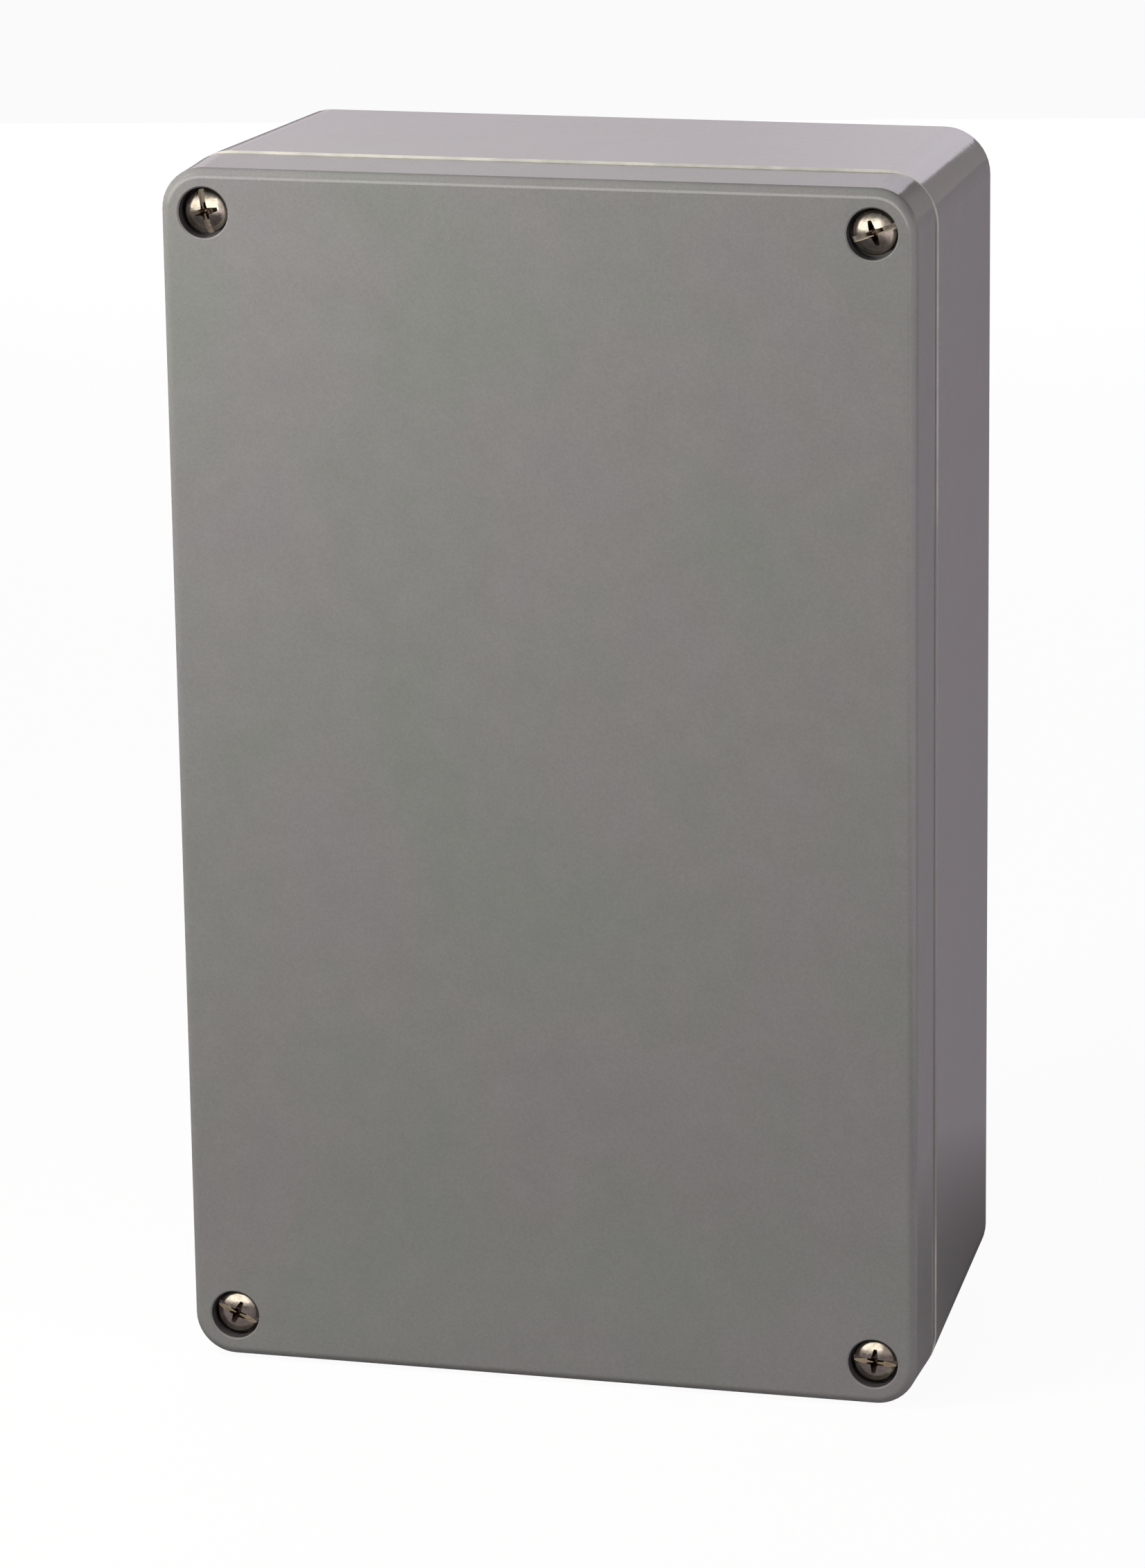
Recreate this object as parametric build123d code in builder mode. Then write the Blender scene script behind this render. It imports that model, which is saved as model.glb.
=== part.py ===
from build123d import *
import os
from math import radians, sqrt, tan

# Glass-fibre reinforced polyester enclosure: a deep base, a shallow lid with a foam
# gasket, and four captive lid screws. X runs across, Z runs up, and the back face lies
# in y = 0, so the enclosure opens towards -Y. A "level" is a height above the back face.

# Overall size, at the rim of the base where the enclosure is widest
width = 160.0
height = 260.0
depth = 90.0

# Split between base and lid
lid_depth = 17.6
parting_gap = 0.2
lid_setback = 0.45

# Outer form of the two mouldings
rim_corner_radius = 10.8
back_corner_radius = 10.0
lid_corner_radius = 9.2
base_draft = 1.9
lid_draft = 1.35
back_edge_radius = 4.0
back_slab = 6.0
rim_edge_chamfer = 0.45
lid_front_edge_radius = 2.0
lid_rear_edge_chamfer = 0.3

# Inside of the base
floor_thickness = 4.5
rim_ledge = 3.6
cavity_draft = 1.0
cavity_corner_radius = 5.0
corner_block_bevel = 5.0
back_relief_depth = 0.6
back_relief_radius = 8.0
back_land = 26.0

# Sealing tongue, groove and gasket
tongue_width = 1.6
tongue_height = 3.0
groove_width = 3.6
gasket_thickness = 2.7
gasket_side_clearance = 0.1

# Inside of the lid
lid_plate_thickness = 4.0
groove_web = 1.6
lid_skirt = 2.4
lid_pocket_draft = 2.0
corner_pocket_draft = 2.0

# Lid screws, their counterbores and captive rings
screw_edge_distance = 10.0
screw_length = 30.0
shank_radius = 2.45
head_radius = 4.75
head_height = 3.7
head_crown_radius = 2.7
head_bevel_height = 1.9
slot_width = 1.2
slot_depth = 1.25
cross_reach = 2.55
cross_width = 1.15
cross_depth = 2.5
screw_seat_depth = 5.0
counterbore_radius = 5.3
counterbore_chamfer = 0.3
screw_hole_radius = 2.75
boss_radius = 6.6
ring_thickness = 1.2
ring_grip_clearance = 0.02
ring_rest = 1.0

# Threaded bushes for the lid screws
bush_flats = 8.0
bush_length = 12.0
bush_fit = 0.02
screw_engagement = 7.0
thread_clearance = 0.05
ring_well_clearance = 0.12

# Wall fixing holes, in the corner blocks outside the seal
wall_hole_edge_distance_x = 25.0
wall_hole_edge_distance_z = 10.0
wall_hole_radius = 3.25
wall_screw_well_radius = 6.0
wall_screw_seat = 9.0
partition = 3.4

# Bosses on the floor for a mounting plate or rail
plate_boss_edge_distance_x = 30.0
plate_boss_edge_distance_z = 45.0
plate_boss_rows = 3
plate_boss_radius = 5.5
plate_boss_height = 8.0
plate_bush_flats = 6.0
plate_bush_length = 7.0
plate_thread_radius = 2.0

# Slot angle of each lid screw, seen from the front, and the corner that it stands in
corners = {
    "top_left": (-1, 1, 102.7),
    "top_right": (1, 1, 20.0),
    "bottom_left": (-1, -1, -24.0),
    "bottom_right": (1, -1, -5.0),
}

# Spacings of the screws, wall holes and bosses
screw_spacing_x = width - 2 * screw_edge_distance
screw_spacing_z = height - 2 * screw_edge_distance
wall_hole_spacing_x = width - 2 * wall_hole_edge_distance_x
wall_hole_spacing_z = height - 2 * wall_hole_edge_distance_z
plate_boss_spacing_x = width - 2 * plate_boss_edge_distance_x
plate_boss_spacing_z = (height - 2 * plate_boss_edge_distance_z) / (plate_boss_rows - 1)

# Slack for picking an edge or a corner by its place
pick_slack = 0.01

# Levels above the back face
rim_level = depth - lid_depth
lid_rear_level = rim_level + parting_gap
tongue_tip_level = rim_level + tongue_height
groove_floor_level = tongue_tip_level + gasket_thickness
lid_pocket_level = depth - lid_plate_thickness
head_seat_level = depth - screw_seat_depth
head_top_level = head_seat_level + head_height
screw_tip_level = head_seat_level - screw_length
bush_top_level = screw_tip_level + screw_engagement
bush_bottom_level = bush_top_level - bush_length
plate_boss_level = floor_thickness + plate_boss_height

# Half sizes of the sealed space, which steps in round the four corner blocks
side_reach = width / 2 - rim_ledge - tongue_width
end_reach = height / 2 - rim_ledge - tongue_width
block_x = wall_hole_spacing_x / 2 - wall_screw_well_radius - partition
block_z = wall_hole_spacing_z / 2 - wall_screw_well_radius - partition
seal_middle = tongue_width / 2


def level(distance):
    """Plane parallel to the back face, at a level, facing the front."""
    return Plane.XZ.offset(distance)


def stepped_outline(grow):
    """Sharp outline of the sealed space, moved outwards by grow."""
    with BuildSketch() as outline:
        Rectangle(2 * (side_reach + grow), 2 * (block_z + grow))
        Rectangle(2 * (block_x + grow), 2 * (end_reach + grow))
    return outline.sketch


def at_block(across, up, grow):
    """True for a corner of the sealed space that a corner block pushes inwards."""
    inner_x = block_x + grow + pick_slack
    inner_z = block_z + grow + pick_slack
    return abs(across) < inner_x and abs(up) < inner_z


def sealing_outline(grow):
    """Outline of the sealed space with rounded corners, moved outwards by grow."""
    with BuildSketch() as outline:
        add(stepped_outline(grow))
        fillet(
            outline.vertices().filter_by(lambda v: not at_block(v.X, v.Y, grow)),
            cavity_corner_radius + grow,
        )
        chamfer(
            outline.vertices().filter_by(lambda v: at_block(v.X, v.Y, grow)),
            corner_bevel(grow),
        )
    return outline.sketch


def corner_bevel(grow):
    """Length of the bevel on a corner block, where the outline moved outwards by grow."""
    return corner_block_bevel - grow * (2 - sqrt(2))


def sealed_core(low, high, grow, draft):
    """Core of a cavity: drafted from one level to another, with shaped corners."""
    with BuildPart() as core:
        with BuildSketch(level(low)):
            add(stepped_outline(grow))
        extrude(amount=high - low, taper=draft)
        slanting = core.edges().filter_by(lambda e: e.bounding_box().size.Y > abs(high - low) / 2)
        fillet(
            slanting.filter_by(lambda e: not at_block(e.center().X, e.center().Z, grow)),
            cavity_corner_radius + grow,
        )
        slanting = core.edges().filter_by(lambda e: e.bounding_box().size.Y > abs(high - low) / 2)
        chamfer(
            slanting.filter_by(lambda e: at_block(e.center().X, e.center().Z, grow)),
            corner_bevel(grow),
        )
    return core.part


def hexagon(flats):
    """Hexagon of a width across flats, for the moulded-in bushes."""
    with BuildSketch() as outline:
        RegularPolygon(flats / 2, 6, major_radius=False)
    return outline.sketch


def corner_points(spacing_x, spacing_z):
    """The four points of a rectangular pattern centred on the origin."""
    return GridLocations(spacing_x, spacing_z, 2, 2)


def tapering_block(*sections):
    """Solid through rounded rectangles, each given as a level, an inset and a radius."""
    with BuildPart() as block:
        for section_level, inset, radius in sections:
            with BuildSketch(level(section_level)):
                RectangleRounded(width - 2 * inset, height - 2 * inset, radius)
        loft(ruled=True)
    return block.part


# Base
slab_inset = (rim_level - back_slab) * tan(radians(base_draft))
with BuildPart() as base:
    with BuildSketch(level(back_slab)):
        RectangleRounded(width - 2 * slab_inset, height - 2 * slab_inset, back_corner_radius)
    extrude(amount=-back_slab, taper=base_draft)
    fillet(base.faces().sort_by(Axis.Y)[-1].edges(), back_edge_radius)
    add(
        tapering_block(
            (rim_level, rim_edge_chamfer, rim_corner_radius - rim_edge_chamfer),
            (rim_level - rim_edge_chamfer, 0, rim_corner_radius),
            (back_slab, slab_inset, back_corner_radius),
        )
    )
    # raised inner wall, the tongue that presses into the gasket
    with BuildSketch(level(rim_level)):
        add(sealing_outline(tongue_width))
    extrude(amount=tongue_height)
    add(sealed_core(tongue_tip_level, floor_thickness, 0, cavity_draft), mode=Mode.SUBTRACT)
    # bosses on the floor
    with BuildSketch(level(floor_thickness)):
        with GridLocations(plate_boss_spacing_x, plate_boss_spacing_z, 2, plate_boss_rows):
            Circle(plate_boss_radius)
    extrude(amount=plate_boss_height)
    with BuildSketch(level(plate_boss_level)):
        with GridLocations(plate_boss_spacing_x, plate_boss_spacing_z, 2, plate_boss_rows):
            add(hexagon(plate_bush_flats + 2 * bush_fit))
    extrude(amount=-plate_bush_length, mode=Mode.SUBTRACT)
    # wells for the wall screws, and hexagonal wells with the lid screw bushes at the bottom
    with Locations(level(rim_level)):
        with corner_points(wall_hole_spacing_x, wall_hole_spacing_z):
            CounterBoreHole(
                wall_hole_radius, wall_screw_well_radius, rim_level - wall_screw_seat
            )
    with BuildSketch(level(rim_level)):
        with corner_points(screw_spacing_x, screw_spacing_z):
            add(hexagon(bush_flats + 2 * bush_fit))
    extrude(amount=bush_bottom_level - rim_level, mode=Mode.SUBTRACT)
    # shallow relief, so that the back bears on its border
    with BuildSketch(level(0)):
        RectangleRounded(width - 2 * back_land, height - 2 * back_land, back_relief_radius)
    extrude(amount=back_relief_depth, mode=Mode.SUBTRACT)

# Groove for the gasket, measured like the sealing outline
groove_inner = seal_middle - groove_width / 2
groove_outer = seal_middle + groove_width / 2

# Lid
corner_pocket_start_x = block_x + groove_outer + groove_web
corner_pocket_end_x = screw_spacing_x / 2 - boss_radius
corner_pocket_start_z = block_z + groove_outer + groove_web
corner_pocket_end_z = height / 2 - lid_setback - lid_skirt
corner_pocket_width = corner_pocket_end_x - corner_pocket_start_x
corner_pocket_height = corner_pocket_end_z - corner_pocket_start_z
corner_pocket_x = corner_pocket_start_x + corner_pocket_end_x
corner_pocket_z = corner_pocket_start_z + corner_pocket_end_z
lid_width = width - 2 * lid_setback
lid_height = height - 2 * lid_setback
with BuildPart() as lid:
    with BuildSketch(level(lid_rear_level)):
        RectangleRounded(lid_width, lid_height, lid_corner_radius)
    extrude(amount=depth - lid_rear_level, taper=lid_draft)
    fillet(lid.faces().sort_by(Axis.Y)[0].edges(), lid_front_edge_radius)
    chamfer(lid.faces().sort_by(Axis.Y)[-1].edges(), lid_rear_edge_chamfer)
    add(
        sealed_core(
            lid_rear_level, lid_pocket_level, groove_inner - groove_web, lid_pocket_draft
        ),
        mode=Mode.SUBTRACT,
    )
    with BuildSketch(level(lid_rear_level)):
        add(sealing_outline(groove_outer))
        add(sealing_outline(groove_inner), mode=Mode.SUBTRACT)
    extrude(amount=groove_floor_level - lid_rear_level, mode=Mode.SUBTRACT)
    with BuildSketch(level(lid_rear_level)):
        with corner_points(corner_pocket_x, corner_pocket_z):
            Rectangle(corner_pocket_width, corner_pocket_height)
    extrude(
        amount=lid_pocket_level - lid_rear_level, taper=corner_pocket_draft, mode=Mode.SUBTRACT
    )
    with Locations(level(depth)):
        with corner_points(screw_spacing_x, screw_spacing_z):
            CounterBoreHole(screw_hole_radius, counterbore_radius, screw_seat_depth)
    with BuildSketch(level(depth)):
        with corner_points(screw_spacing_x, screw_spacing_z):
            Circle(counterbore_radius + counterbore_chamfer)
    extrude(amount=-counterbore_chamfer, taper=45, mode=Mode.SUBTRACT)

# Foam gasket, bonded into the groove of the lid
with BuildPart() as gasket:
    with BuildSketch(level(tongue_tip_level)):
        add(sealing_outline(groove_outer - gasket_side_clearance))
        add(sealing_outline(groove_inner + gasket_side_clearance), mode=Mode.SUBTRACT)
    extrude(amount=gasket_thickness)

# Rings turn inside the wells, so they are as wide as the bushes less a clearance
ring_radius = bush_flats / 2 - ring_well_clearance


def screw_profile():
    """Half section of a lid screw: radius across, level up."""
    with BuildSketch() as profile:
        with BuildLine():
            Polyline(
                (0, head_top_level),
                (0, screw_tip_level),
                (shank_radius, screw_tip_level),
                (shank_radius, head_seat_level),
                (head_radius, head_seat_level),
                (head_radius, head_top_level - head_bevel_height),
                (head_crown_radius, head_top_level),
                close=True,
            )
        make_face()
    return profile.sketch


def turning_plane(x, z):
    """Plane through an axis at x, z, with level as its second direction."""
    return Plane(origin=(x, 0, z), x_dir=(1, 0, 0), z_dir=(0, 0, -1))


os.makedirs("parts", exist_ok=True)

for piece, name in ((base, "base"), (lid, "lid"), (gasket, "gasket")):
    piece.part.label = name
    export_step(piece.part, f"parts/{name}.step")

# Each corner has a lid screw with its captive ring, and a bush in the base
for corner, (side, end, slot_angle) in corners.items():
    x = side * screw_spacing_x / 2
    z = end * screw_spacing_z / 2
    turning_axis = Axis((x, 0, z), (0, 1, 0))

    with BuildPart() as lid_screw:
        with BuildSketch(turning_plane(x, z)):
            add(screw_profile())
        revolve(axis=turning_axis)
        with BuildSketch(level(head_top_level)):
            with Locations((x, z)):
                Rectangle(2 * head_radius, slot_width, rotation=slot_angle)
        extrude(amount=-slot_depth, mode=Mode.SUBTRACT)
        with BuildSketch(level(head_top_level)):
            with Locations((x, z)):
                Rectangle(2 * cross_reach, cross_width, rotation=slot_angle)
                Rectangle(cross_width, 2 * cross_reach, rotation=slot_angle)
        extrude(amount=-cross_depth, mode=Mode.SUBTRACT)
    lid_screw.part.label = f"lid_screw_{corner}"
    export_step(lid_screw.part, f"parts/lid_screw_{corner}.step")

    with BuildPart() as captive_ring:
        with BuildSketch(level(bush_top_level + ring_rest)):
            with Locations((x, z)):
                Circle(ring_radius)
                Circle(shank_radius + ring_grip_clearance, mode=Mode.SUBTRACT)
        extrude(amount=ring_thickness)
    captive_ring.part.label = f"captive_ring_{corner}"
    export_step(captive_ring.part, f"parts/captive_ring_{corner}.step")

    with BuildPart() as lid_bush:
        with BuildSketch(level(bush_bottom_level)):
            with Locations((x, z)):
                add(hexagon(bush_flats))
                Circle(shank_radius + thread_clearance, mode=Mode.SUBTRACT)
        extrude(amount=bush_length)
    lid_bush.part.label = f"lid_bush_{corner}"
    export_step(lid_bush.part, f"parts/lid_bush_{corner}.step")

# Bushes in the floor bosses, numbered from the lower left
plate_points = GridLocations(plate_boss_spacing_x, plate_boss_spacing_z, 2, plate_boss_rows)
for number, place in enumerate(plate_points.locations, start=1):
    x = place.position.X
    z = place.position.Y
    with BuildPart() as plate_bush:
        with BuildSketch(level(plate_boss_level - plate_bush_length)):
            with Locations((x, z)):
                add(hexagon(plate_bush_flats))
                Circle(plate_thread_radius, mode=Mode.SUBTRACT)
        extrude(amount=plate_bush_length)
    plate_bush.part.label = f"plate_bush_{number}"
    export_step(plate_bush.part, f"parts/plate_bush_{number}.step")
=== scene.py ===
"""Dresses the grey polyester enclosure: camera, studio, materials and detailed screws."""
from math import asin, cos, pi, radians, sin

import bmesh
import bpy
from mathutils import Matrix, Vector


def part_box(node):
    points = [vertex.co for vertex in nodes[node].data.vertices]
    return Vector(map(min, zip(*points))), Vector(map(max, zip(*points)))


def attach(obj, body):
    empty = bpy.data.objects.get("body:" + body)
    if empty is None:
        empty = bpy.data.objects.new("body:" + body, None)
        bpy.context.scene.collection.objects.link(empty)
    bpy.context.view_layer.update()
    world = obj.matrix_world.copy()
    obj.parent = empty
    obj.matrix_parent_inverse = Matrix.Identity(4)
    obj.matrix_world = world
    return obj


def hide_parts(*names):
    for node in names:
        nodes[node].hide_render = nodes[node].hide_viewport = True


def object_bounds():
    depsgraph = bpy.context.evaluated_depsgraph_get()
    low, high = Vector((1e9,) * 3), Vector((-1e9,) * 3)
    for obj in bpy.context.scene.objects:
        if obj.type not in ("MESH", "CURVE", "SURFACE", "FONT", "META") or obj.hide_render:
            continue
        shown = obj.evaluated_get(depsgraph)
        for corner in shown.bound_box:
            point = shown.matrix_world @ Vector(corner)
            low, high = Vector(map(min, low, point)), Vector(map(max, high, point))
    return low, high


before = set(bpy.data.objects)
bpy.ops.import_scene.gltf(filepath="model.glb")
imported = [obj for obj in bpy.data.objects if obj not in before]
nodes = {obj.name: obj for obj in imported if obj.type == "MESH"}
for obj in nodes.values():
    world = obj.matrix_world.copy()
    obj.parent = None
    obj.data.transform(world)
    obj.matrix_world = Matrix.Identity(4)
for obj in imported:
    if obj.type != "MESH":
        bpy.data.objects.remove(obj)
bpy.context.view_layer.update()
scene = bpy.context.scene
scene.view_settings.view_transform = "Standard"

MM = 0.001

# Camera, from the fit to the photograph, which is taken as 1652 x 2263; distances in m
IMAGE_HEIGHT = 2263
FOCAL_PIXELS = 8976.3
SENSOR = 36.0
CAMERA_AZIMUTH = radians(14.603)
CAMERA_ELEVATION = radians(15.331)
CAMERA_ROLL = radians(-0.799)
CAMERA_DISTANCE = 1.336212
CAMERA_TARGET = Vector((-0.005037, -0.045, -0.009962))
CAMERA_REACH = 50

# Slot angle of each lid screw, seen from the front
SLOT_ANGLES = {
    "top_left": radians(102.7),
    "top_right": radians(20.0),
    "bottom_left": radians(-24.0),
    "bottom_right": radians(-5.0),
}

# Lid screws, in mm: head with its crown, slot and cross recess, then shank, thread and tip
HEAD_HEIGHT = 3.7
HEAD_BEVEL = 0.15
SEAT_FILLET = 0.3
CROWN_RADIUS = 10.0
CROWN_REACH = 4.0
SLOT_WIDTH = 1.2
SLOT_DEPTH = 1.5
CROSS_REACH = 3.1
CROSS_ROOT = 1.5
CROSS_TIP = 0.8
CROSS_RISE = 0.2
CROSS_FOOT_REACH = 0.9
CROSS_FOOT = 0.45
CROSS_DEPTH = 2.7
CUT_MARGIN = 1.0
SHANK_RADIUS = 2.45
THREAD_ROOT = 2.0
THREAD_PITCH = 0.8
THREAD_LENGTH = 7.2
TIP_RADIUS = 1.75
TIP_BEVEL = 0.6
SCREW_PLACE = (70, 0, 120)

# Fineness of the screws: points round a ring, rings along a pitch, round the shoulder and over
# the crown, rings over which the thread fades in at the tip and out at the shank, angle of the
# crown's last ring, and angle from which an edge is sharp
RING_POINTS = 96
PITCH_RINGS = 8
SHOULDER_RINGS = 8
CROWN_RINGS = 12
FADE_IN_RINGS = 4
FADE_OUT_RINGS = 8
CROWN_END = 0.01
SHARP_ANGLE = radians(28)

# Painted shade in the screw heads' slot and cross recess: depths below the crown in mm between
# which it sets in, and shares
SLOT_SHADE_DEPTHS = (0.1, 0.4)
SLOT_SHADE_SHARE = 0.65
RECESS_SHADE_DEPTHS = (1.45, 1.75)
RECESS_SHADE_SHARE = 0.85

# Painted shade that darkens the walls of the lid's counterbores, in mm: radius of their wall
# and of their mouth, the levels between which the wall lies, half the width of the painted
# shade's edge, and its share
COUNTERBORE_RADIUS = 5.45
MOUTH_RADIUS = 5.6
COUNTERBORE_LEVELS = (-89.6, -83.5)
PAINTED_SHADE_EDGE = 0.15
PAINTED_SHADE_SHARE = 0.85

# Paler line on the rim of the base, partly a trimmed flash line and partly a painted highlight
# where the rim's edge catches the light, in mm: half sizes and corner radius of the outline
# that it follows, distance from the ends where it is at its widest, its level and reach along
# the depth, its width on the sides and on the ends, and half the width of its edge
RIM_HALF = (80, 0, 130)
RIM_RADIUS = 10.8
RIM_END = 2
RIM_LEVEL = -72.2
RIM_REACH = 0.5
RIM_LINE_WIDTHS = (0.22, 0.6)
RIM_EDGE = 0.05

# The rim line's painted highlight is made faint over the middle of the sides: height of that
# middle below the enclosure's own in mm, distances from it where the line gains strength, and
# both strengths
FAINT_BELOW = 20
FAINT_REACH = (72, 82)
FAINT_SHARE = 0.25
FULL_SHARE = 0.9

# Floor: its size in m, its own colour in the camera's and in the other light, its tint in
# gloss, a painted tint of its reflection, and the share of it that shows plain white
WHITE = (1, 1, 1)
FLOOR_SIZE = 16
FLOOR_PALE = (0.9, 0.9, 0.9)
FLOOR_GREY = (0.3, 0.3, 0.3)
FLOOR_GLOSS_TINT = (1.0, 0.88, 0.97)
FLOOR_WHITE_SHARE = 0.95

# Floor in gloss, where it is self-lit: strength round the object, kept low as a painted shadow
# in reflections, the gain behind it and the gain on a painted glowing patch at the right
# front, with the distances in m over which each sets in
FOOT_STRENGTH = 0.06
BEHIND_GAIN = 0.22
GLOW_PATCH_GAIN = 0.6
FOOT_REACH = (0.08, 0.14)
BEHIND_REACH = (-0.2, -0.05)
GLOW_PATCH_RIGHT = (0.22, 0.45)
GLOW_PATCH_FRONT = (0.1, -0.1)

# Room: its white to the camera, its light, and what shows in gloss by height: warm low walls,
# dusk above them and a dim top
ROOM_WHITE = (0.965, 0.965, 0.965)
ROOM_LIGHT = (0.03, 0.03, 0.03)
ROOM_WARM = (0.38, 0.335, 0.34)
ROOM_DUSK = (0.08, 0.075, 0.074)
ROOM_TOP = (0.07, 0.07, 0.07)
ROOM_WALLS = ((0.0, ROOM_WARM), (0.2, ROOM_WARM), (0.35, ROOM_DUSK), (1.0, ROOM_TOP))

# Softboxes: place, point that they face, width and height, radiance, colour, and which of
# diffuse and gloss they light; the back one is graded from one side edge to the other
LID_FRONT = (0, -0.09, 0)
SOFTBOXES = {
    "key": ((-0.6, -0.8, 0.5), LID_FRONT, (1.2, 0.85), 1.8, (1.0, 0.98, 0.92), "diffuse"),
    "near": ((-0.3, -0.3, 0.35), LID_FRONT, (0.15, 0.15), 29.0, (1.0, 1.0, 0.97), "diffuse"),
    "fill": ((0.55, -1.2, 0.1), LID_FRONT, (0.5, 0.5), 1.0, WHITE, "diffuse"),
    "right": ((0.9, -0.5, 0.25), LID_FRONT, (0.5, 0.5), 5.2, (1.0, 0.97, 1.0), "diffuse"),
    "card": ((-0.6, -1.0, 0.25), (-0.6, 0, 0.25), (1.6, 0.5), 1.35, (1.0, 0.97, 0.9), "gloss"),
    "rear": ((-0.3, 1.5, 0.2), (0, 0, 0), (1.0, 1.0), 4.0, WHITE, "diffuse"),
    "back": ((-0.53, 2.0, 0.6), (-0.53, 0, 0.6), (1.6, 0.9), 1.0, (0.99, 0.94, 1.05), "both"),
}
BACK_GRADE = ((0.0, 0.98), (0.18, 0.86), (0.44, 0.4), (1.0, 0.4))

# Sockets of a Mix node that take and give its colours
MIX_FIRST = 6
MIX_SECOND = 7
MIX_RESULT = 2


def place_camera():
    """Camera at the photograph's viewing angle."""
    back = Vector(
        (
            sin(CAMERA_AZIMUTH) * cos(CAMERA_ELEVATION),
            -cos(CAMERA_AZIMUTH) * cos(CAMERA_ELEVATION),
            sin(CAMERA_ELEVATION),
        )
    )
    level_right = (-back).cross(Vector((0, 0, 1))).normalized()
    level_up = level_right.cross(-back)
    right = level_right * cos(CAMERA_ROLL) + level_up * sin(CAMERA_ROLL)
    up = level_up * cos(CAMERA_ROLL) - level_right * sin(CAMERA_ROLL)
    data = bpy.data.cameras.new("camera")
    data.sensor_width = SENSOR
    data.lens = FOCAL_PIXELS * SENSOR / IMAGE_HEIGHT
    data.clip_end = CAMERA_REACH
    camera = bpy.data.objects.new("camera", data)
    turn = Matrix((right, up, back)).transposed().to_4x4()
    camera.matrix_world = Matrix.Translation(CAMERA_TARGET + back * CAMERA_DISTANCE) @ turn
    scene.collection.objects.link(camera)
    scene.camera = camera


# Shader nodes
def add_node(tree, kind, inputs=None, **settings):
    """A shader node with its settings; an input is a value or another node's socket."""
    made = tree.nodes.new(kind)
    for name, value in settings.items():
        setattr(made, name, value)
    for key, value in (inputs or {}).items():
        if isinstance(value, bpy.types.NodeSocket):
            tree.links.new(value, made.inputs[key])
        else:
            made.inputs[key].default_value = value
    return made


def calc(tree, operation, first, second=0.0, third=0.0):
    """Result of an operation on one, two or three values."""
    inputs = {0: first, 1: second, 2: third}
    return add_node(tree, "ShaderNodeMath", inputs, operation=operation).outputs[0]


def product(tree, value, *factors):
    """Product of a value and its factors."""
    for factor in factors:
        value = calc(tree, "MULTIPLY", value, factor)
    return value


def vector(tree, operation, first, second=(0, 0, 0), output="Vector"):
    """Result of an operation on one or two vectors."""
    inputs = {0: first, 1: second}
    return add_node(tree, "ShaderNodeVectorMath", inputs, operation=operation).outputs[output]


def part_of(tree, place, axis):
    """Coordinate of a place along an axis."""
    return add_node(tree, "ShaderNodeSeparateXYZ", {0: place}).outputs[axis]


def step_between(tree, value, low, high):
    """0 below one value and 1 above another, with a straight slope between; or the reverse."""
    inputs = {"Value": value, "From Min": low, "From Max": high}
    return add_node(tree, "ShaderNodeMapRange", inputs).outputs[0]


def ramp(tree, factor, *stops):
    """Colour ramp through stops, each a position and a grey or a colour."""
    made = add_node(tree, "ShaderNodeValToRGB", {"Fac": factor})
    elements = made.color_ramp.elements
    while len(elements) < len(stops):
        elements.new(0.5)
    for element, (position, colour) in zip(elements, stops):
        element.position = position
        if isinstance(colour, (int, float)):
            colour = (colour, colour, colour)
        element.color = (*colour, 1)
    return made.outputs["Color"]


def spread(tree, pattern, low, high):
    """A noise pattern spread over its usual range between two greys or two colours."""
    return ramp(tree, pattern, (0.3, low), (0.7, high))


def opaque(colour):
    """A colour with its alpha; another node's socket stays as it is."""
    return colour if isinstance(colour, bpy.types.NodeSocket) else (*colour, 1)


def blend(tree, factor, first, second, blend_type="MIX"):
    """Mix of two colours."""
    inputs = {0: factor, MIX_FIRST: opaque(first), MIX_SECOND: opaque(second)}
    made = add_node(tree, "ShaderNodeMix", inputs, data_type="RGBA", blend_type=blend_type)
    return made.outputs[MIX_RESULT]


def vary(tree, tint, pattern, share, contrast):
    """A tint made lighter and darker by a pattern."""
    levels = spread(tree, pattern, 0.5 - contrast, 0.5 + contrast)
    return blend(tree, share, tint, levels, "OVERLAY")


def noise(tree, place, size, detail=2.0, roughness=0.5, stretch=(1, 1, 1)):
    """Noise with features of about a size in mm; stretch makes them longer along an axis."""
    scale = [1 / (size * along) for along in stretch]
    inputs = {
        "Vector": vector(tree, "MULTIPLY", place, scale),
        "Scale": 1.0,
        "Detail": detail,
        "Roughness": roughness,
    }
    return add_node(tree, "ShaderNodeTexNoise", inputs).outputs[0]


def bump(tree, pattern, height, strength, normal=None):
    """Normal of a surface with a pattern of a height in mm on it."""
    inputs = {"Height": pattern, "Distance": height * MM, "Strength": strength}
    if normal is not None:
        inputs["Normal"] = normal
    return add_node(tree, "ShaderNodeBump", inputs).outputs[0]


def mix_shaders(tree, share, first, second):
    """Mix of two shaders."""
    inputs = {0: share, 1: first.outputs[0], 2: second.outputs[0]}
    return add_node(tree, "ShaderNodeMixShader", inputs)


def ray_kinds(tree):
    """Whether a ray is the camera's, and whether it is one of gloss or of a clear piece."""
    rays = add_node(tree, "ShaderNodeLightPath").outputs
    mirrored = calc(tree, "MAXIMUM", rays["Is Glossy Ray"], rays["Is Transmission Ray"])
    return rays["Is Camera Ray"], mirrored


def new_material(name):
    """A node material with its Principled shader and the object's coordinates in mm."""
    material = bpy.data.materials.new(name)
    material.use_nodes = True
    tree = material.node_tree
    shader = tree.nodes["Principled BSDF"]
    metres = add_node(tree, "ShaderNodeTexCoord").outputs["Object"]
    inputs = {0: metres, "Scale": 1 / MM}
    place = add_node(tree, "ShaderNodeVectorMath", inputs, operation="SCALE").outputs[0]
    return material, tree, shader, place


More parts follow.
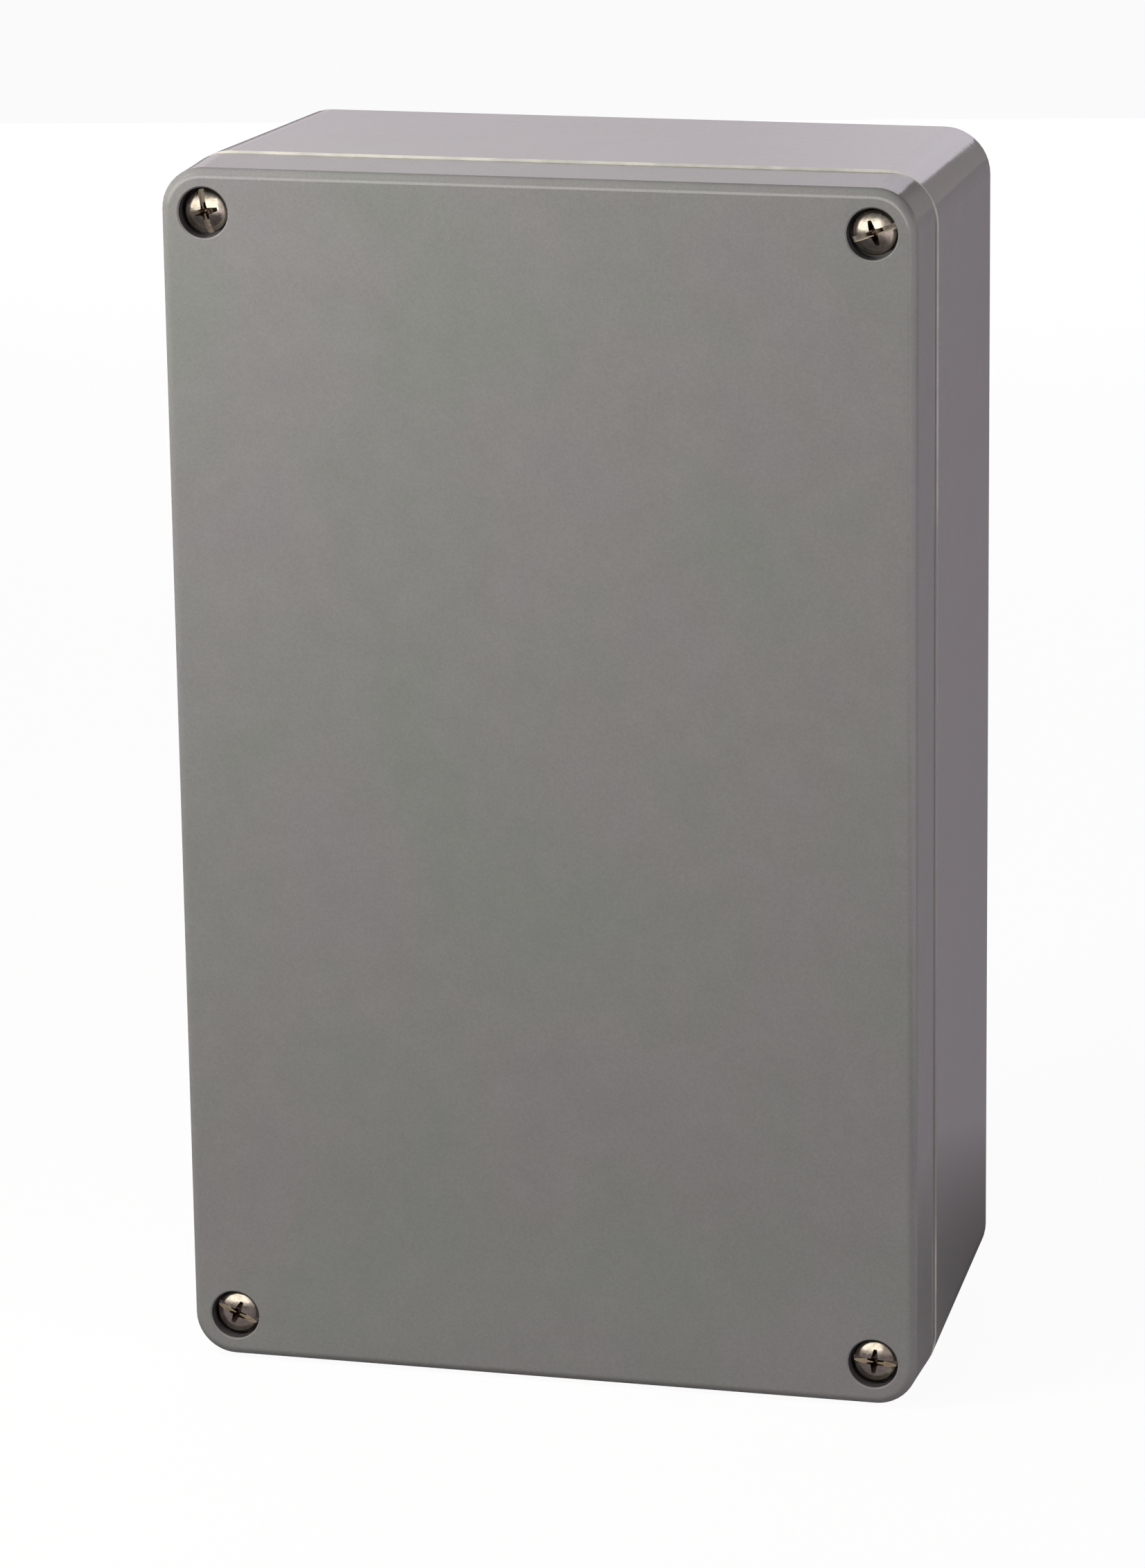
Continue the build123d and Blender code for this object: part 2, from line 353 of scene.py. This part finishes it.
# Places on the enclosure, in mm
def screw_square(tree, place):
    """Square of the distance from the axis of the nearest lid screw."""
    centred = vector(tree, "SUBTRACT", vector(tree, "ABSOLUTE", place), SCREW_PLACE)
    flat = vector(tree, "MULTIPLY", centred, (1, 0, 1))
    return vector(tree, "DOT_PRODUCT", flat, flat, output="Value")


def counterbore_wall(tree, place):
    """Share of the walls of the lid's counterbores, which painted shade darkens; 0 elsewhere.
    """
    square = screw_square(tree, place)
    level = part_of(tree, place, "Y")
    front, back = COUNTERBORE_LEVELS
    inside = step_between(tree, square, MOUTH_RADIUS**2, COUNTERBORE_RADIUS**2)
    past_front = step_between(tree, level, front - PAINTED_SHADE_EDGE, front + PAINTED_SHADE_EDGE)
    before_back = calc(tree, "LESS_THAN", level, back)
    return product(tree, inside, past_front, before_back)


def rim_line(tree, place):
    """Share of the pale line along the rim of the base, part flash line and part painted
    highlight; it fades along the long sides.
    """
    flat = vector(tree, "MULTIPLY", vector(tree, "ABSOLUTE", place), (1, 0, 1))
    core = (RIM_HALF[0] - RIM_RADIUS, 0, RIM_HALF[2] - RIM_RADIUS)
    outside = vector(tree, "MAXIMUM", vector(tree, "SUBTRACT", flat, core))
    reach = vector(tree, "LENGTH", outside, output="Value")
    at_end = step_between(tree, part_of(tree, flat, "Z"), core[2], RIM_HALF[2] - RIM_END)
    side_width, end_width = RIM_LINE_WIDTHS
    width = calc(tree, "MULTIPLY_ADD", at_end, end_width - side_width, side_width)
    past_inner = calc(tree, "SUBTRACT", reach, calc(tree, "SUBTRACT", RIM_RADIUS, width))
    inside = step_between(tree, past_inner, -RIM_EDGE, RIM_EDGE)
    away = calc(tree, "SUBTRACT", part_of(tree, place, "Y"), RIM_LEVEL)
    away = calc(tree, "ABSOLUTE", away)
    near = step_between(tree, away, RIM_REACH + RIM_EDGE, RIM_REACH - RIM_EDGE)
    height = calc(tree, "ADD", part_of(tree, place, "Z"), FAINT_BELOW)
    fade = step_between(tree, calc(tree, "ABSOLUTE", height), *FAINT_REACH)
    fade = calc(tree, "MULTIPLY_ADD", fade, FULL_SHARE - FAINT_SHARE, FAINT_SHARE)
    line_patches = ramp(tree, noise(tree, place, size=6, detail=3), (0.3, 0.6), (0.6, 1.0))
    return product(tree, inside, near, fade, line_patches)


# Materials
def moulded_polyester(name, least_rough, specular, on_base):
    """Grey glass-fibre polyester: mottled and speckled, with its pale rim line, part trimmed
    flash line and part painted highlight, or the painted shade in its counterbores.
    """
    green = (0.236, 0.24, 0.226)
    plain = (0.248, 0.242, 0.235)
    mauve = (0.252, 0.237, 0.24)
    flash_and_highlight_rim = (0.62, 0.59, 0.53)
    painted_shade = (0.035, 0.03, 0.03)
    material, tree, shader, place = new_material(name)
    mottle = noise(tree, place, size=42, detail=3, roughness=0.55)
    tint = ramp(tree, mottle, (0.36, green), (0.52, plain), (0.66, mauve))
    cloud = noise(tree, place, size=9, detail=4, roughness=0.6)
    tint = vary(tree, tint, cloud, share=0.5, contrast=0.03)
    speck = noise(tree, place, size=0.55, roughness=0.7)
    tint = vary(tree, tint, speck, share=0.3, contrast=0.1)
    if on_base:
        # Pale rim line: partly a trimmed flash line, partly a painted highlight where the
        # rim's edge catches the light.
        tint = blend(tree, rim_line(tree, place), tint, flash_and_highlight_rim)
    else:
        # Painted shade: the counterbore walls and the edge of their mouths are darkened.
        share = product(tree, counterbore_wall(tree, place), PAINTED_SHADE_SHARE)
        tint = blend(tree, share, tint, painted_shade)
    tree.links.new(tint, shader.inputs["Base Color"])
    patchy = noise(tree, place, size=14, detail=4)
    rough = spread(tree, patchy, least_rough, least_rough + 0.04)
    tree.links.new(rough, shader.inputs["Roughness"])
    shader.inputs["Specular IOR Level"].default_value = specular
    waves = bump(tree, noise(tree, place, size=34, detail=1), 0.4, strength=0.2)
    ripples = bump(tree, noise(tree, place, size=2, detail=3), 0.03, 0.55, waves)
    grain = bump(tree, noise(tree, place, size=0.5), 0.006, 0.35, ripples)
    tree.links.new(grain, shader.inputs["Normal"])
    return material


def bright_steel(top):
    """Bright steel with a warm cast, darkened by painted shade in the slot and recess; top is
    the level of the heads.
    """
    dull = (0.64, 0.57, 0.47)
    bright = (0.84, 0.78, 0.67)
    slot_shade = (0.2, 0.16, 0.125)
    recess_shade = (0.1, 0.06, 0.035)
    material, tree, shader, place = new_material("screw_steel")
    stain = noise(tree, place, size=2.4, detail=4, roughness=0.65)
    tint = ramp(tree, stain, (0.32, dull), (0.6, bright))
    crown = product(tree, screw_square(tree, place), 0.5 / CROWN_RADIUS)
    depth = calc(tree, "SUBTRACT", part_of(tree, place, "Y"), top)
    depth = calc(tree, "SUBTRACT", depth, crown)
    in_head = calc(tree, "LESS_THAN", depth, HEAD_HEIGHT)
    # Painted shade: the slot, and deeper down the cross recess, darken by their depth below
    # the crown.
    in_slot = step_between(tree, depth, *SLOT_SHADE_DEPTHS)
    share = product(tree, in_slot, in_head, SLOT_SHADE_SHARE)
    tint = blend(tree, share, tint, slot_shade)
    in_recess = step_between(tree, depth, *RECESS_SHADE_DEPTHS)
    spots = ramp(tree, noise(tree, place, size=0.7), (0.5, 1.0), (0.6, 0.35))
    share = product(tree, in_recess, in_head, spots, RECESS_SHADE_SHARE)
    tint = blend(tree, share, tint, recess_shade)
    tree.links.new(tint, shader.inputs["Base Color"])
    shader.inputs["Metallic"].default_value = 1.0
    rough = spread(tree, noise(tree, place, size=0.8, detail=3), 0.16, 0.28)
    tree.links.new(rough, shader.inputs["Roughness"])
    dents = noise(tree, place, size=0.9, detail=3)
    tree.links.new(bump(tree, dents, 0.04, strength=0.5), shader.inputs["Normal"])
    return material


def brass():
    """Turned brass of the moulded-in bushes."""
    dull = (0.46, 0.31, 0.12)
    bright = (0.72, 0.53, 0.24)
    material, tree, shader, place = new_material("bush_brass")
    stain = noise(tree, place, size=3, detail=4)
    tree.links.new(ramp(tree, stain, (0.3, dull), (0.65, bright)), shader.inputs["Base Color"])
    shader.inputs["Metallic"].default_value = 1.0
    rough = spread(tree, noise(tree, place, size=0.7), 0.28, 0.42)
    tree.links.new(rough, shader.inputs["Roughness"])
    grooves = noise(tree, place, size=0.3, stretch=(6, 1, 6))
    tree.links.new(bump(tree, grooves, 0.03, strength=0.6), shader.inputs["Normal"])
    return material


def foam():
    """Black foamed rubber of the gasket, with open pores."""
    material, tree, shader, place = new_material("gasket_foam")
    inputs = {"Vector": place, "Scale": 2.2, "Randomness": 1.0}
    pores = add_node(tree, "ShaderNodeTexVoronoi", inputs).outputs["Distance"]
    tint = ramp(tree, pores, (0.05, 0.012), (0.5, 0.035))
    tree.links.new(tint, shader.inputs["Base Color"])
    shader.inputs["Roughness"].default_value = 0.85
    tree.links.new(bump(tree, pores, 0.2, strength=0.7), shader.inputs["Normal"])
    return material


def nylon():
    """Natural nylon of the captive rings."""
    shaded = (0.62, 0.6, 0.53)
    pale = (0.72, 0.7, 0.64)
    material, tree, shader, place = new_material("ring_plastic")
    cloud = noise(tree, place, size=1.5, detail=3)
    tree.links.new(spread(tree, cloud, shaded, pale), shader.inputs["Base Color"])
    shader.inputs["Roughness"].default_value = 0.4
    shader.inputs["Subsurface Weight"].default_value = 0.15
    shader.inputs["Subsurface Scale"].default_value = 0.5 * MM
    tree.links.new(bump(tree, cloud, 0.03, strength=0.4), shader.inputs["Normal"])
    return material


def dress(piece, material):
    """Gives a piece one material."""
    piece.data.materials.clear()
    piece.data.materials.append(material)


# Detailed screws, made in mm with their tip at the origin and their head towards -Y
def closed_piece(name, rings):
    """Closed piece through rings of the same number of points, filled at both ends."""
    mesh = bmesh.new()
    loops = [[mesh.verts.new(point) for point in ring] for ring in rings]
    count = len(loops[0])
    for low, high in zip(loops, loops[1:]):
        for index in range(count):
            after = (index + 1) % count
            mesh.faces.new((low[index], low[after], high[after], high[index]))
    mesh.faces.new(loops[0])
    mesh.faces.new(loops[-1])
    bmesh.ops.recalc_face_normals(mesh, faces=mesh.faces)
    data = bpy.data.meshes.new(name)
    mesh.to_mesh(data)
    mesh.free()
    piece = bpy.data.objects.new(name, data)
    scene.collection.objects.link(piece)
    return piece


def screw_outline(head_radius, length):
    """Turned outline of a lid screw from its tip, as radius and level above the tip, and the
    range of its points that are threaded."""
    tip = [(TIP_RADIUS, 0), (THREAD_ROOT, TIP_BEVEL / 2)]
    step = THREAD_PITCH / PITCH_RINGS
    thread = [
        (SHANK_RADIUS, TIP_BEVEL + step * index) for index in range(int(THREAD_LENGTH / step))
    ]
    seat = length - HEAD_HEIGHT
    under_head = [
        (SHANK_RADIUS, seat - SEAT_FILLET),
        (SHANK_RADIUS + SEAT_FILLET, seat),
        (head_radius - HEAD_BEVEL, seat),
        (head_radius, seat + HEAD_BEVEL),
    ]
    lean = asin(CROWN_REACH / CROWN_RADIUS)
    shoulder_radius = (head_radius - CROWN_REACH) / (1 - sin(lean))
    shoulder_level = length - CROWN_RADIUS * (1 - cos(lean)) - shoulder_radius * cos(lean)
    shoulder = []
    for index in range(SHOULDER_RINGS):
        angle = pi / 2 + (lean - pi / 2) * index / SHOULDER_RINGS
        radius = head_radius - shoulder_radius * (1 - sin(angle))
        shoulder.append((radius, shoulder_level + shoulder_radius * cos(angle)))
    crown_angles = [lean * (1 - index / CROWN_RINGS) for index in range(CROWN_RINGS)]
    crown = [
        (CROWN_RADIUS * sin(angle), length - CROWN_RADIUS * (1 - cos(angle)))
        for angle in crown_angles + [CROWN_END]
    ]
    threaded = range(len(tip), len(tip) + len(thread))
    return tip + thread + under_head + shoulder + crown, threaded


def thread_groove(ring, ring_count, level, angle):
    """Depth of the thread's groove, which fades in at the tip and out at the shank."""
    turn = (level / THREAD_PITCH + angle / (2 * pi)) % 1
    groove = abs(2 * turn - 1)
    fade = min(1, (ring + 1) / FADE_IN_RINGS, (ring_count - ring) / FADE_OUT_RINGS)
    return (SHANK_RADIUS - THREAD_ROOT) * groove * fade


def turned_rings(outline, threaded):
    """Rings of points round the axis of an outline, with the thread's groove cut in."""
    rings = []
    for index, (radius, level) in enumerate(outline):
        ring = []
        for step in range(RING_POINTS):
            angle = 2 * pi * step / RING_POINTS
            reach = radius
            if index in threaded:
                reach -= thread_groove(index - threaded.start, len(threaded), level, angle)
            ring.append((reach * cos(angle), -level, reach * sin(angle)))
        rings.append(ring)
    return rings


def cross_outline(reach, root, tip):
    """Outline of a cross whose arms taper from a width at the root to one at the tip."""
    arm = [(reach, -tip / 2), (reach, tip / 2), (root / 2, root / 2)]
    outline = []
    for turn in range(4):
        for across, up in arm:
            for _ in range(turn):
                across, up = -up, across
            outline.append((across, up))
    return outline


def cut(piece, name, *sections):
    """Cuts a shape out of a piece; its sections are levels, each with an outline."""
    rings = [[(across, -level, up) for across, up in outline] for level, outline in sections]
    shape = closed_piece(name, rings)
    modifier = piece.modifiers.new("cut", "BOOLEAN")
    modifier.object = shape
    modifier.operation = "DIFFERENCE"
    modifier.solver = "EXACT"
    evaluated = piece.evaluated_get(bpy.context.evaluated_depsgraph_get())
    data = bpy.data.meshes.new_from_object(evaluated)
    piece.modifiers.clear()
    piece.data = data
    bpy.data.objects.remove(shape)


def lid_screw(corner, material):
    """Captive pan head screw: domed head, slot with a cross recess, thread at its tip."""
    low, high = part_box(f"lid_screw_{corner}")
    centre = (low + high) / 2
    head_radius = (high.x - low.x) / 2 / MM
    length = (high.y - low.y) / MM
    rings = turned_rings(*screw_outline(head_radius, length))
    piece = closed_piece(f"detailed_screw_{corner}", rings)
    half = SLOT_WIDTH / 2
    reach = head_radius + CUT_MARGIN
    slot = [(-reach, -half), (reach, -half), (reach, half), (-reach, half)]
    cut(piece, "slot", (length - SLOT_DEPTH, slot), (length + CUT_MARGIN, slot))
    cross_top = cross_outline(CROSS_REACH, CROSS_ROOT, CROSS_TIP)
    cross_foot = cross_outline(CROSS_FOOT_REACH, CROSS_FOOT, CROSS_FOOT)
    cut(piece, "cross", (length - CROSS_DEPTH, cross_foot), (length + CROSS_RISE, cross_top))
    data = piece.data
    turn = Matrix.Rotation(-SLOT_ANGLES[corner], 4, "Y")
    place = Matrix.Translation((centre.x, high.y, centre.z))
    data.transform(place @ turn @ Matrix.Scale(MM, 4))
    data.shade_smooth()
    data.set_sharp_from_angle(angle=SHARP_ANGLE)
    dress(piece, material)
    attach(piece, f"screw_{corner}")
    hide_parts(f"lid_screw_{corner}")


# Studio
def studio_floor():
    """Pale floor that shows white and keeps a soft shadow; in gloss it is self-lit and dimmer,
    with a painted shadow round the object and a painted glowing patch at the right front.
    """
    bpy.ops.mesh.primitive_plane_add(size=FLOOR_SIZE, location=(0, 0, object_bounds()[0].z))
    floor = bpy.context.object
    floor.name = "floor"
    material = bpy.data.materials.new("floor")
    material.use_nodes = True
    tree = material.node_tree
    tree.nodes.clear()
    seen, mirrored = ray_kinds(tree)
    place = add_node(tree, "ShaderNodeTexCoord").outputs["Object"]
    right = part_of(tree, place, "X")
    rear = part_of(tree, place, "Y")
    # Gloss only: painted shadow where the floor is dim round the object; brighter behind it
    # and on a painted glowing patch at the right front.
    away = step_between(tree, vector(tree, "LENGTH", place, output="Value"), *FOOT_REACH)
    behind = product(tree, away, step_between(tree, rear, *BEHIND_REACH))
    at_right = step_between(tree, right, *GLOW_PATCH_RIGHT)
    glow_patch = product(tree, at_right, step_between(tree, rear, *GLOW_PATCH_FRONT))
    strength = calc(tree, "MULTIPLY_ADD", behind, BEHIND_GAIN, FOOT_STRENGTH)
    strength = calc(tree, "MULTIPLY_ADD", glow_patch, GLOW_PATCH_GAIN, strength)
    strength = calc(tree, "MAXIMUM", strength, seen)
    pale = blend(tree, seen, FLOOR_GREY, FLOOR_PALE)
    plain = add_node(tree, "ShaderNodeBsdfDiffuse", {"Color": pale})
    sheen = blend(tree, seen, FLOOR_GLOSS_TINT, WHITE)
    white = add_node(tree, "ShaderNodeEmission", {"Color": sheen, "Strength": strength})
    share = calc(tree, "MULTIPLY_ADD", seen, FLOOR_WHITE_SHARE, mirrored)
    mixed = mix_shaders(tree, share, plain, white)
    add_node(tree, "ShaderNodeOutputMaterial", {"Surface": mixed.outputs[0]})
    dress(floor, material)


def studio_world():
    """Dim room light; the pale room shows to the camera and in gloss."""
    world = bpy.data.worlds.new("studio")
    scene.world = world
    world.use_nodes = True
    tree = world.node_tree
    tree.nodes.clear()
    seen, mirrored = ray_kinds(tree)
    direction = add_node(tree, "ShaderNodeTexCoord").outputs["Generated"]
    room = ramp(tree, part_of(tree, direction, "Z"), *ROOM_WALLS)
    dim, pale, white = [
        add_node(tree, "ShaderNodeBackground", {"Color": opaque(colour)})
        for colour in (ROOM_LIGHT, room, ROOM_WHITE)
    ]
    unseen = mix_shaders(tree, mirrored, dim, pale)
    mixed = mix_shaders(tree, seen, unseen, white)
    add_node(tree, "ShaderNodeOutputWorld", {"Surface": mixed.outputs[0]})


def softbox(name, place, aim, size, radiance, colour, shows_in):
    """Rectangular lamp of a width and height that faces a point."""
    data = bpy.data.lights.new(name, "AREA")
    data.shape = "RECTANGLE"
    data.size, data.size_y = size
    data.energy = radiance * pi * size[0] * size[1]
    data.color = colour
    lamp = bpy.data.objects.new(name, data)
    direction = Vector(aim) - Vector(place)
    turn = direction.to_track_quat("-Z", "Y").to_matrix().to_4x4()
    lamp.matrix_world = Matrix.Translation(place) @ turn
    lamp.visible_camera = False
    lamp.visible_glossy = shows_in != "diffuse"
    lamp.visible_diffuse = shows_in != "gloss"
    scene.collection.objects.link(lamp)
    return lamp


def grade(lamp, *stops):
    """Varies a softbox from its right edge, as the object sees it, to its left edge."""
    lamp.data.use_nodes = True
    tree = lamp.data.node_tree
    across = add_node(tree, "ShaderNodeNewGeometry").outputs["Parametric"]
    strength = ramp(tree, part_of(tree, across, "X"), *stops)
    tree.links.new(strength, tree.nodes["Emission"].inputs["Strength"])


place_camera()
studio_floor()
studio_world()
lamps = {name: softbox(name, *values) for name, values in SOFTBOXES.items()}
grade(lamps["back"], *BACK_GRADE)

steel = bright_steel(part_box("lid_screw_top_left")[0].y / MM)
bush_brass = brass()
ring_nylon = nylon()
for corner in SLOT_ANGLES:
    lid_screw(corner, steel)
    dress(nodes[f"lid_screw_{corner}"], steel)
    dress(nodes[f"lid_bush_{corner}"], bush_brass)
    dress(nodes[f"captive_ring_{corner}"], ring_nylon)
for name, piece in nodes.items():
    if name.startswith("plate_bush"):
        dress(piece, bush_brass)
dress(nodes["gasket"], foam())
base_look = moulded_polyester("base_polyester", 0.045, specular=0.65, on_base=True)
lid_look = moulded_polyester("lid_polyester", 0.08, specular=1.0, on_base=False)
dress(nodes["base"], base_look)
dress(nodes["lid"], lid_look)
